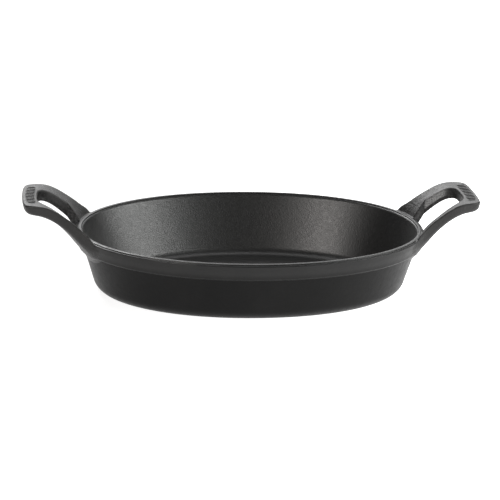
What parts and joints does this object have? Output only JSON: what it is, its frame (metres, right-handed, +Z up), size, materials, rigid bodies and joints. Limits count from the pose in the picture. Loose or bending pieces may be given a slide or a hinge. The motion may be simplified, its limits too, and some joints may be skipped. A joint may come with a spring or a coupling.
{
  "type": "oval baking dish",
  "caption": "Oval cast-iron gratin dish with flared wall, flat base, thick rim collar with rounded lip, and a raised loop handle with a finger slot at each end",
  "frame": {"origin": "centre of the flat underside, on the surface the dish stands on", "axes": "+X along the long axis, through both loop handles, towards the right handle; +Y across the dish, away from the viewer of the picture; +Z up"},
  "size_m": [0.3656, 0.2, 0.0788],
  "materials": {
    "body_iron": "satin black enamel over cast iron",
    "band_iron": "satin black enamel over cast iron",
    "handle_iron": "satin black enamel over cast iron",
    "enamel": "finely pebbled satin black enamel"
  },
  "bodies": {
    "root": {"dish_body": "body_iron", "rim_band": "band_iron", "left_handle": "handle_iron", "right_handle": "handle_iron", "interior_enamel": "enamel"}
  },
  "joints": []
}
